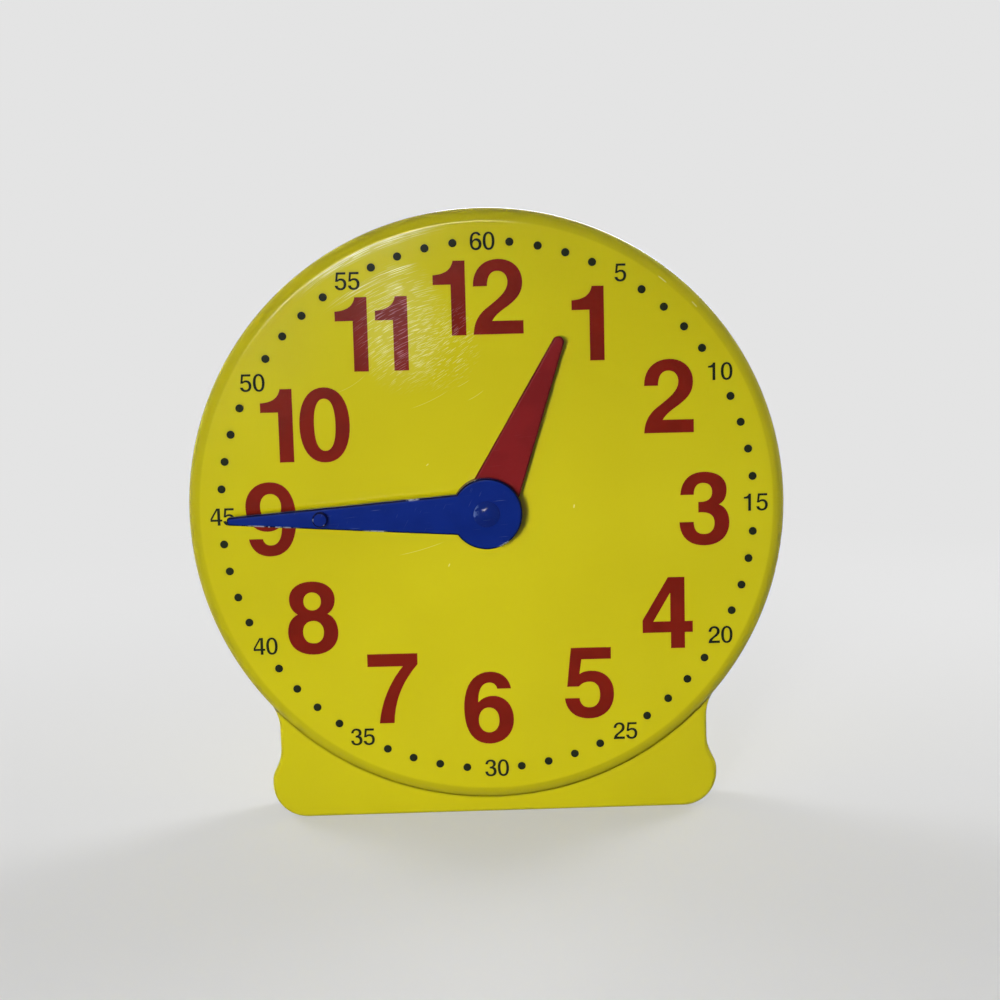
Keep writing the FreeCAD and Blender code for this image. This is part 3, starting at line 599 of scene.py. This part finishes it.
# %% Satin plastic and worked steel
def satin_plastic(name, colour, deep, roughness, grain_scale, grain_height):
    finish = Finish(name, colour, roughness, Specular_IOR_Level=0.3)
    clouds = finish.noise(finish.place, 30.0, 2.0)
    rubs = finish.strokes(27, 0.030, 0.0012, 0.22, (0.2, 0.1, 0.5))
    finish.set("Base Color", finish.mix(colour, deep, clouds.between(0.35, 0.7)))
    finish.set("Roughness", roughness + clouds * 0.10 - rubs * 0.10)
    grain = finish.noise(finish.place, grain_scale, 2.0)
    finish.set("Normal", finish.bump(grain, grain_height, 0.6))
    return finish.material


def worked_steel(name, colour, roughness, line_scale):
    finish = Finish(name, colour, roughness, Metallic=1.0)
    lines = finish.noise(finish.moved(scale=(1, 0.04, 1)), line_scale, 3.0)
    stains = finish.noise(finish.place, 180.0, 3.0)
    dull = tuple(c * 0.72 for c in colour)
    finish.set("Base Color", finish.mix(colour, dull, stains.between(0.45, 0.7)))
    finish.set("Roughness", roughness + lines * 0.16)
    finish.set("Normal", finish.bump(lines, 0.00001, 0.5))
    return finish.material


print("two more kinds of finish")


# %% Every finish by its name
# Satin plastics: two colours, roughness, the grain's scale and its height. Steels: colour,
# roughness and the scale of the lines.
SATIN = {
    "yellow_cover_plastic": ((0.545, 0.475, 0.012), (0.528, 0.458, 0.011), 0.46, 1500.0, 0.00006),
    "nylon_bush": ((0.70, 0.68, 0.58), (0.62, 0.60, 0.50), 0.42, 700.0, 0.00003),
    "lock_ring_plastic": ((0.020, 0.020, 0.022), (0.014, 0.014, 0.015), 0.48, 700.0, 0.00003),
    "bridge_plastic": ((0.56, 0.56, 0.53), (0.50, 0.50, 0.47), 0.45, 1100.0, 0.00005),
    "washer_nylon": ((0.78, 0.77, 0.70), (0.70, 0.69, 0.61), 0.40, 700.0, 0.00003),
    "compound_gear_plastic": ((0.74, 0.72, 0.63), (0.67, 0.65, 0.56), 0.38, 800.0, 0.00003),
    "minute_pinion_plastic": ((0.022, 0.065, 0.34), (0.018, 0.052, 0.28), 0.38, 800.0, 0.00003),
    "hour_wheel_plastic": ((0.39, 0.022, 0.019), (0.33, 0.018, 0.016), 0.38, 800.0, 0.00003),
}
STEEL = {
    "screw_steel": ((0.58, 0.59, 0.60), 0.28, 2600.0),
    "shaft_steel": ((0.60, 0.61, 0.62), 0.20, 3200.0),
    "spring_steel": ((0.30, 0.32, 0.35), 0.30, 2600.0),
}
finishes = {
    "yellow_shell_plastic": shell_finish,
    "red_hand_plastic": red_plastic,
    "blue_hand_plastic": blue_plastic,
    "blue_cap_plastic": blue_cap,
}
for name, values in SATIN.items():
    finishes[name] = satin_plastic(name, *values)
for name, values in STEEL.items():
    finishes[name] = worked_steel(name, *values)
print(len(finishes), "finishes for the nodes")


# %% [markdown]
# ## Dressing the nodes
#
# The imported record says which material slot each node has, so the finishes are handed out by that
# list. The meshes stay as they are, with the smoothing that they came with.

# %% Give every node its finish
def only(*objects):
    """Selects these objects and nothing else."""
    bpy.ops.object.select_all(action="DESELECT")
    for item in objects:
        item.select_set(True)
    bpy.context.view_layer.objects.active = objects[0]


for part in frame["record"]["subparts"]:
    node = nodes[part["node"]]
    node.data.materials.clear()
    node.data.materials.append(finishes[part["material_slot"]])


# %% [markdown]
# ## Digits
#
# The numerals are a plain bold sans-serif. Each digit is drawn once as closed outlines of straight
# lines and curves, a hundred units high, in the way a sign writer's template would be cut: M moves,
# L draws lines and C draws curves, with two handles and an end for each.

# %% The digits' outlines
DIGITS = {
    "0": (
        "M 32.3,101 C 53.5,101 66.5,81 66.5,50 66.5,18 53.5,-1.5 32.3,-1.5"
        " 11,-1.5 -2,18 -2,50 -2,81 11,101 32.3,101",
        "M 32.5,85.5 C 42.5,85.5 47,72 47,50 47,28 42.5,14.5 32.5,14.5"
        " 22.5,14.5 18,28 18,50 18,72 22.5,85.5 32.5,85.5",
    ),
    "1": ("M 23.9,0 L 43.6,0 43.6,100 27.5,100 C 25.5,90.5 20,82.5 0,81.3 L 0,68.2 23.9,68.2",),
    "2": (
        "M -0.5,65 C -0.5,86 12,101 34,101 53,101 66,88 66,70 66,52 54,43.5 41,34.5"
        " 33,29 28,24.5 24.5,18.5 L 66.5,18.5 66.5,0.5 -1,0.5 C -0.5,14 4,24 13,32.5"
        " 23,41.5 46,54 46,70 46,79 41,85 32.5,85 23,85 19,77.5 18.5,65",
    ),
    "3": (
        "M 0,69.5 C 1,89 13,101 32,101 52,101 63.5,91 63.5,76 63.5,66 60,59 53,55.5"
        " 62,52 67,43 67,30.5 67,11 53,-1 33,-1 12,-1 -1,11 -1.5,32 L 18,32"
        " C 18.5,20 23,15 32.5,15 41.5,15 46.5,21 46.5,30 46.5,41 40,45 28,45"
        " L 24.5,45 24.5,59.5 27,59.5 C 38,59.5 43.5,64.5 43.5,73 43.5,81 39,85.5 31,85.5"
        " 23,85.5 18.5,80 18.5,69.5",
    ),
    "4": (
        "M 34,100 L 57,100 57,38 68,38 68,22.3 57,22.3 57,0 37.5,0 37.5,22.3 -1.5,22.3 -1.5,40",
        "M 37,78 L 37,38 13.5,38",
    ),
    "5": (
        "M 6.5,100 L 62,100 62,83.5 21,83.5 18,63 C 23,66 28,67.2 34,67.2 53,67.2 65.5,54 65.5,35"
        " 65.5,13 52,-1 31,-1 12,-1 -1,10 -3,28.5 L 17.5,28.5 C 18.5,20 23,15 31.5,15"
        " 40.5,15 46,22 46,33.5 46,45 40.5,51.5 32,51.5 25.5,51.5 21,49.5 17,45 L 0.5,45",
    ),
    "6": (
        "M 64.5,77 C 62,92 51.5,101.5 35.5,101.5 12,101.5 -1.3,82 -1.3,49 -1.3,17 11,-1.3 34,-1.3"
        " 53,-1.3 67.5,12.5 67.5,33 67.5,53 56,67 38.5,67 30.5,67 23.5,64 18.7,58.5"
        " 18.7,75 23.5,86 34.5,86 40,86 44,83 45.3,77",
        "M 33,50.5 C 24.5,50.5 18.7,43 18.7,32.7 18.7,22.5 24.5,15 33.2,15"
        " 42,15 47.3,22.5 47.3,32.7 47.3,43 42,50.5 33,50.5",
    ),
    "7": (
        "M 0,99.5 L 69.5,99.5 69.5,84 C 50.5,62 36.5,37 35,0.8 L 14.3,0.8"
        " C 17.5,31 31,61 49,81.5 L 0,81.5",
    ),
    "8": (
        "M 30.5,101.5 C 49.5,101.5 61.7,91 61.7,76.5 61.7,67 58,60 51,55.5 60,51.5 65,42 65,29.5"
        " 65,11 51.5,-1.5 30.5,-1.5 9,-1.5 -4.3,11 -4.3,29.5 -4.3,42 0.5,51.5 10,55.5"
        " 2.5,60 -1.3,67 -1.3,76.5 -1.3,91 11,101.5 30.5,101.5",
        "M 30.5,86 C 37.5,86 42.5,81 42.5,73.5 42.5,66 37.5,61 30.5,61 23.5,61 18.5,66 18.5,73.5"
        " 18.5,81 23.5,86 30.5,86",
        "M 30.8,46 C 39.5,46 45,40 45,30.3 45,20.5 39.5,14.5 30.8,14.5"
        " 22,14.5 16.5,20.5 16.5,30.3 16.5,40 22,46 30.8,46",
    ),
}
print(len(DIGITS), "digits drawn; the nine is the six turned by half a turn")


# %% Read the outlines
HALF_TURN_SUM = Vector((66.2, 100.2))


def outline(path):
    """A closed outline as a list of [handle before, point, handle after]; no handle means a line."""
    anchors, handles, letter = [], [], ""
    for word in path.split():
        if word in "MLC":
            letter = word
            continue
        point = Vector(float(part) for part in word.split(","))
        if letter != "C":
            anchors.append([None, point, None])
            continue
        handles.append(point)
        if len(handles) == 3:
            anchors[-1][2] = handles[0]
            anchors.append([handles[1], handles[2], None])
            handles = []
    if (anchors[0][1] - anchors[-1][1]).length < 0.01:
        anchors[0][0] = anchors.pop()[0]
    return anchors


outlines = {digit: [outline(path) for path in paths] for digit, paths in DIGITS.items()}
outlines["9"] = [
    [[None if h is None else HALF_TURN_SUM - h for h in anchor] for anchor in ring]
    for ring in outlines["6"]
]
print("digits read:", " ".join(sorted(outlines)))


# %% [markdown]
# ## From outline to ink
#
# A flat curve fills its own holes correctly, so each digit starts as one. Its offset thins the bold
# digit to the lighter one of the minutes. It is turned into a mesh, and copies of that go to their
# places, standing 0.05 mm proud of the dial, as screen-printed ink does, with their undersides just
# below the surface so that no gap shows at the edge. The screen was laid a quarter of a degree
# askew and less than a millimetre off the middle of the dial, and its film had shrunk a little.

# %% Cut one digit
INK_PROUD = 0.05 * MM
INK_SUNK = 0.02 * MM
INK_THICK = INK_PROUD + INK_SUNK


def digit_mesh(name, digit, height, thin=0.0, steps=10):
    """A digit as a flat mesh with its lower left corner at the origin; thin is in hundredths."""
    curve = bpy.data.curves.new(name, "CURVE")
    curve.dimensions = "2D"
    curve.fill_mode = "BOTH"
    curve.resolution_u = steps
    curve.offset = -thin
    for ring in outlines[digit]:
        spline = curve.splines.new("BEZIER")
        spline.bezier_points.add(len(ring) - 1)
        spline.use_cyclic_u = True
        for knot, (before, at, after) in zip(spline.bezier_points, ring):
            knot.handle_left_type = "VECTOR" if before is None else "FREE"
            knot.handle_right_type = "VECTOR" if after is None else "FREE"
            knot.co = (*at, 0)
            if before is not None:
                knot.handle_left = (*before, 0)
            if after is not None:
                knot.handle_right = (*after, 0)
    scale = height / (100 - 2 * thin)
    curve.extrude = INK_THICK / 2 / scale
    shape = bpy.data.objects.new(name, curve)
    bpy.context.scene.collection.objects.link(shape)
    only(shape)
    bpy.ops.object.convert(target="MESH")
    shape = bpy.context.view_layer.objects.active
    shape.data.transform(Matrix.Scale(scale, 4) @ Matrix.Translation((-thin, -thin, 0)))
    return shape


print("ink", round(INK_THICK / MM, 3), "mm thick")


# %% Lay it on the dial
PRINT_SHIFT = (0.69, 0.24)
PRINT_TURN = math.radians(-0.26)
PRINT_SIZE = 0.9973


def print_on_dial(pattern, right, up):
    """Lays a copy of a flat mesh on the dial, its origin at a place in mm from the print's middle."""
    shape = pattern.copy()
    shape.data = pattern.data.copy()
    bpy.context.scene.collection.objects.link(shape)
    centre_y = DIAL_Y + (INK_SUNK - INK_PROUD) / 2
    on_film = Matrix.Translation((right * MM, up * MM, 0))
    laid = Matrix.Rotation(PRINT_TURN, 4, "Z") @ Matrix.Diagonal((PRINT_SIZE, PRINT_SIZE, 1, 1))
    middle = Matrix.Translation((HUB.x + PRINT_SHIFT[0] * MM, centre_y, HUB.z + PRINT_SHIFT[1] * MM))
    shape.data.transform(middle @ Matrix.Rotation(math.radians(90), 4, "X") @ laid @ on_film)
    return shape


def put_away(patterns):
    """Deletes the shapes that were only there to be copied."""
    for pattern in patterns:
        bpy.data.objects.remove(pattern)


print("print shifted by", PRINT_SHIFT, "mm")


# %% Join what is printed
WELD = 0.000001


def joined(name, shapes, finish):
    """Makes one piece of several meshes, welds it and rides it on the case."""
    only(*shapes)
    bpy.ops.object.join()
    piece = bpy.context.view_layer.objects.active
    piece.name = piece.data.name = name
    bpy.ops.object.mode_set(mode="EDIT")
    bpy.ops.mesh.select_all(action="SELECT")
    bpy.ops.mesh.remove_doubles(threshold=WELD)
    bpy.ops.mesh.normals_make_consistent(inside=False)
    bpy.ops.object.mode_set(mode="OBJECT")
    piece.data.materials.clear()
    piece.data.materials.append(finish)
    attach(piece, "case")
    print(name, len(piece.data.vertices), "vertices,", len(piece.data.polygons), "faces")


# %% [markdown]
# ## The hour numerals
#
# The hours stand upright round the dial. The artist placed them by eye rather than on a strict
# circle, so each has its own place, given by the lower left corner of its first digit.

# %% Print the hours
HOUR_HEIGHT = 42.0 * MM
SECOND_DIGIT = 22.8
HOUR_PLACES = {
    "1": (50.2, 84.4),
    "2": (90.8, 41.8),
    "3": (110.6, -23.3),
    "4": (88.6, -83.8),
    "5": (43.3, -124.2),
    "6": (-16.3, -137.7),
    "7": (-72.4, -124.7),
    "8": (-115.8, -81.6),
    "9": (-138.5, -23.2),
    "10": (-128.1, 30.6),
    "11": (-83.7, 81.4),
    "12": (-27.8, 100.4),
}
hour_digits = {digit: digit_mesh("hour_digit", digit, HOUR_HEIGHT) for digit in outlines}
hour_shapes = []
for number, (right, up) in HOUR_PLACES.items():
    for position, digit in enumerate(number):
        start = right + SECOND_DIGIT * position
        hour_shapes.append(print_on_dial(hour_digits[digit], start, up))
put_away(hour_digits.values())
joined("hour_numerals", hour_shapes, red_ink)


# %% [markdown]
# ## The minute numerals and dots
#
# The minutes are a ring of small numerals, every five minutes, with round dots between them. The
# numerals are centred on the ring's circle, give or take the printer's own small shifts.

# %% Print the minutes
MINUTE_RING = 153.0
MINUTE_HEIGHT = 10.0 * MM
MINUTE_PITCH = 7.4
DIGIT_MIDDLE = 3.2
MINUTE_THIN = 2.0
MINUTE_STEPS = 6
MINUTES_RIGHT = 0.7
MINUTE_SHIFTS = {
    5: (1.0, 1.0),
    10: (0.8, 0.0),
    15: (0.3, 0.8),
    30: (0.8, 0.0),
    35: (-0.7, 0.3),
    40: (0.8, 0.0),
}
minute_digits = {
    digit: digit_mesh("minute_digit", digit, MINUTE_HEIGHT, MINUTE_THIN, MINUTE_STEPS)
    for digit in outlines
}
minute_shapes = []
for minute in range(5, 61, 5):
    angle = math.radians(minute * 6)
    shift = MINUTE_SHIFTS.get(minute, (0.0, 0.0))
    right = MINUTE_RING * math.sin(angle) + MINUTES_RIGHT + shift[0]
    up = MINUTE_RING * math.cos(angle) + shift[1]
    for position, digit in enumerate(str(minute)):
        start = right - DIGIT_MIDDLE + MINUTE_PITCH * (position - (len(str(minute)) - 1) / 2)
        foot = up - MINUTE_HEIGHT / MM / 2
        minute_shapes.append(print_on_dial(minute_digits[digit], start, foot))
put_away(minute_digits.values())
joined("minute_numerals", minute_shapes, dark_ink)


# %% Print the dots
DOT_RADIUS = 2.35 * MM
DOT_SIDES = 24
DOT_EDGE = 0.12 * DOT_RADIUS
WALL_SHARE = 0.7


def ink_dot():
    """A drop of ink: a disc drawn up to its thickness, with its edge let down a little."""
    bpy.ops.object.select_all(action="DESELECT")
    bpy.ops.mesh.primitive_circle_add(
        vertices=DOT_SIDES, radius=DOT_RADIUS, fill_type="NGON", location=(0, 0, -INK_THICK / 2)
    )
    bpy.ops.object.mode_set(mode="EDIT")
    bpy.ops.mesh.select_all(action="SELECT")
    bpy.ops.mesh.extrude_region_move(
        TRANSFORM_OT_translate={"value": (0, 0, INK_THICK * WALL_SHARE)}
    )
    bpy.ops.mesh.inset(thickness=DOT_EDGE, depth=INK_THICK * (1 - WALL_SHARE))
    bpy.ops.object.mode_set(mode="OBJECT")
    dot = bpy.context.view_layer.objects.active
    dot.data.transform(dot.matrix_world)
    dot.matrix_world = Matrix.Identity(4)
    return dot


one_dot = ink_dot()
dots = []
for minute in range(60):
    if minute % 5:
        angle = math.radians(minute * 6)
        right = MINUTE_RING * math.sin(angle)
        up = MINUTE_RING * math.cos(angle)
        dots.append(print_on_dial(one_dot, right, up))
put_away([one_dot])
joined("minute_dots", dots, dark_ink)


# %% [markdown]
# ## The studio
#
# A pale floor, a pale surround and soft lamps. The key lamp stands low in front on the left, with a
# narrow beam, and lights the dial without being mirrored in it. Two lamps in front are only
# mirrored: a wide, leaning one draws the bright line along the upper left rim, and a small one
# brings out the scratches. Two lamps behind light the sides and the back, and a third one behind
# is only mirrored, in screws and edges. The floor is pale to the eye, but it sends back less light
# than it seems to, so that the undersides keep their depth.

# %% What the picture shows and what lights the clock
def seen_by_eye(tree):
    """1 for rays whose light the picture shows: from the camera, a mirror or a clear piece."""
    path = tree.nodes.new("ShaderNodeLightPath")
    either = tree.nodes.new("ShaderNodeMath")
    either.operation = "MAXIMUM"
    tree.links.new(path.outputs["Is Camera Ray"], either.inputs[0])
    tree.links.new(path.outputs["Is Glossy Ray"], either.inputs[1])
    any_of = tree.nodes.new("ShaderNodeMath")
    any_of.operation = "MAXIMUM"
    tree.links.new(either.outputs[0], any_of.inputs[0])
    tree.links.new(path.outputs["Is Transmission Ray"], any_of.inputs[1])
    return any_of.outputs[0]


def blend(tree, share, first, second):
    mixed = tree.nodes.new("ShaderNodeMixShader")
    tree.links.new(share, mixed.inputs["Fac"])
    tree.links.new(first, mixed.inputs[1])
    tree.links.new(second, mixed.inputs[2])
    return mixed.outputs[0]


print("what is shown can differ from what lights the clock")


# %% The floor
SURROUND = 0.775
FLOOR_COLOUR = 0.80
FLOOR_ROUGHNESS = 0.9
FLOOR_SHINE = 0.1
FLOOR_BOUNCE = 0.14
FLOOR_RADIUS = 6.0
FLOOR_SIDES = 96
FADE_FROM = 0.20
FADE_TO = 1.10
NEAR_SHARE = 0.45


def pale_floor():
    """A floor that fades into the surround, and is dimmer for the light that it sends back."""
    material = bpy.data.materials.new("studio_floor")
    material.use_nodes = True
    tree = material.node_tree
    shader = tree.nodes["Principled BSDF"]
    shader.inputs["Base Color"].default_value = (FLOOR_COLOUR, FLOOR_COLOUR, FLOOR_COLOUR, 1)
    shader.inputs["Roughness"].default_value = FLOOR_ROUGHNESS
    shader.inputs["Specular IOR Level"].default_value = FLOOR_SHINE
    far = tree.nodes.new("ShaderNodeEmission")
    far.inputs["Color"].default_value = (SURROUND, SURROUND, SURROUND, 1)
    place = tree.nodes.new("ShaderNodeTexCoord")
    distance = tree.nodes.new("ShaderNodeVectorMath")
    distance.operation = "LENGTH"
    tree.links.new(place.outputs["Object"], distance.inputs[0])
    fade = tree.nodes.new("ShaderNodeMapRange")
    fade.interpolation_type = "SMOOTHSTEP"
    fade.inputs["From Min"].default_value = FADE_FROM
    fade.inputs["From Max"].default_value = FADE_TO
    fade.inputs["To Min"].default_value = NEAR_SHARE
    tree.links.new(distance.outputs["Value"], fade.inputs["Value"])
    seen = blend(tree, fade.outputs["Result"], shader.outputs[0], far.outputs[0])
    dim = tree.nodes.new("ShaderNodeBsdfDiffuse")
    dim.inputs["Color"].default_value = (FLOOR_BOUNCE, FLOOR_BOUNCE, FLOOR_BOUNCE, 1)
    surface = blend(tree, seen_by_eye(tree), dim.outputs[0], seen)
    tree.links.new(surface, tree.nodes["Material Output"].inputs["Surface"])
    return material


bpy.ops.object.select_all(action="DESELECT")
bpy.ops.mesh.primitive_circle_add(vertices=FLOOR_SIDES, radius=FLOOR_RADIUS, fill_type="NGON")
floor = bpy.context.view_layer.objects.active
floor.name = "floor"
floor.data.materials.append(pale_floor())
print("floor", FLOOR_RADIUS, "m in radius")


# %% The surround
SKY_TINT = (0.98, 0.99, 1.0)
WORLD_LEVEL = 0.22
WORLD_SLOPE = (-0.12, 0.0, 0.0)

world = bpy.data.worlds.new("surround")
bpy.context.scene.world = world
world.use_nodes = True
air = world.node_tree
sky = air.nodes["Background"]
sky.inputs["Color"].default_value = (*SKY_TINT, 1)
direction = air.nodes.new("ShaderNodeTexCoord")
slope = air.nodes.new("ShaderNodeVectorMath")
slope.operation = "DOT_PRODUCT"
slope.inputs[1].default_value = WORLD_SLOPE
level = air.nodes.new("ShaderNodeMath")
level.operation = "ADD"
level.inputs[1].default_value = WORLD_LEVEL
air.links.new(direction.outputs["Generated"], slope.inputs[0])
air.links.new(slope.outputs["Value"], level.inputs[0])
air.links.new(level.outputs[0], sky.inputs["Strength"])
seen_sky = air.nodes.new("ShaderNodeBackground")
seen_sky.inputs["Color"].default_value = (SURROUND, SURROUND, SURROUND, 1)
shown = blend(air, seen_by_eye(air), sky.outputs[0], seen_sky.outputs[0])
air.links.new(shown, air.nodes["World Output"].inputs["Surface"])
print("surround at", SURROUND)


# %% The lamps
def lamp(name, place, target, size, level, beam=180.0, lights=True, mirrored=True, lean=0.0):
    """A soft lamp; level 1 lights a surface that faces it at the colour it is written in.

    A narrow beam falls off round its middle. A lamp can light a piece without being mirrored in its
    gloss, or only be mirrored. The lean, in degrees, lifts the right-hand end of a wide lamp.
    """
    place, target = Vector(place), Vector(target)
    light = bpy.data.lights.new(name, "AREA")
    light.shape = "RECTANGLE"
    light.size, light.size_y = size
    light.spread = math.radians(beam)
    beam_share = 1 - light.spread / 2 / math.tan(light.spread / 2)
    light.energy = level * math.pi**2 * (target - place).length_squared * beam_share
    item = bpy.data.objects.new(name, light)
    item.visible_diffuse = lights
    item.visible_glossy = mirrored
    bpy.context.scene.collection.objects.link(item)
    upwards = Vector((-math.sin(math.radians(lean)), 0, math.cos(math.radians(lean))))
    turned = camera_turn((target - place).normalized(), upwards)
    item.matrix_world = Matrix.Translation(place) @ turned.to_4x4()
    print(name, "gives", round(level, 2), "from", round((target - place).length, 2), "m")


BELOW_HUB = HUB + Vector((-0.005, 0.0, -0.075))
lamp("key_lamp", (-0.62, -2.12, 0.32), BELOW_HUB, (0.50, 0.50), 1.56, beam=27, mirrored=False)
lamp("rim_lamp", (-0.27, -1.95, 0.57), HUB, (0.74, 0.14), 0.30, lights=False, lean=22)
lamp("glare_lamp", (-0.25, -2.00, 0.47), HUB, (0.20, 0.20), 0.12, lights=False)
lamp("right_lamp", (1.8, 1.5, 1.0), HUB, (1.2, 1.2), 0.80, mirrored=False)
lamp("left_lamp", (-1.8, 1.5, 1.0), HUB, (1.2, 1.2), 0.65, mirrored=False)
lamp("back_lamp", (0.3, 2.2, 0.9), HUB, (1.0, 1.0), 0.30, lights=False)
